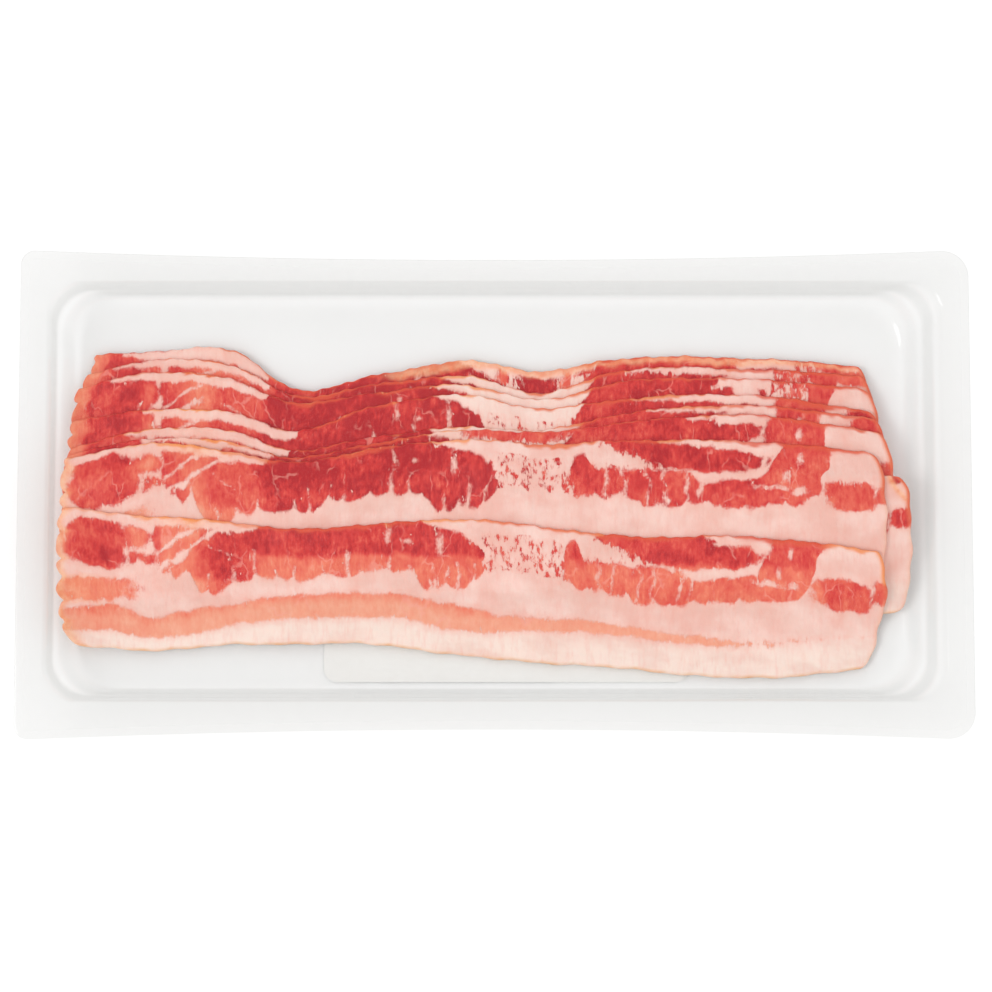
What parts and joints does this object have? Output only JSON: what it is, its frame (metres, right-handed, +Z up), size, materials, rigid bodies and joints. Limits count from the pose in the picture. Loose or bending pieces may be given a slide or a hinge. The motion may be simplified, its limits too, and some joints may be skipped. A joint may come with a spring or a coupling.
{
  "type": "sealed bacon pack",
  "caption": "Shallow clear tray with a sealed clear film lid, holding shingled slices of raw streaky bacon over a plain label.",
  "frame": {"origin": "centre of the bounding box, on the surface that the tray stands on", "axes": "+X along the tray's length, towards its wider-cornered end; +Y across the tray, from the label's side to the rear long side; +Z up"},
  "size_m": [0.276, 0.142, 0.0175],
  "materials": {
    "tray_plastic": "clear, smooth, glossy",
    "film_plastic": "clear, thin, glossy",
    "label_paper": "satin coated paper",
    "bacon": "moist raw meat, lean and fat in bands"
  },
  "bodies": {
    "root": {"tray": "tray_plastic", "film": "film_plastic", "label": "label_paper", "slice_1_front": "bacon", "slice_2": "bacon", "slice_3": "bacon", "slice_4": "bacon", "slice_5": "bacon", "slice_6": "bacon", "slice_7": "bacon", "slice_8": "bacon", "slice_9_rear": "bacon"}
  },
  "joints": []
}
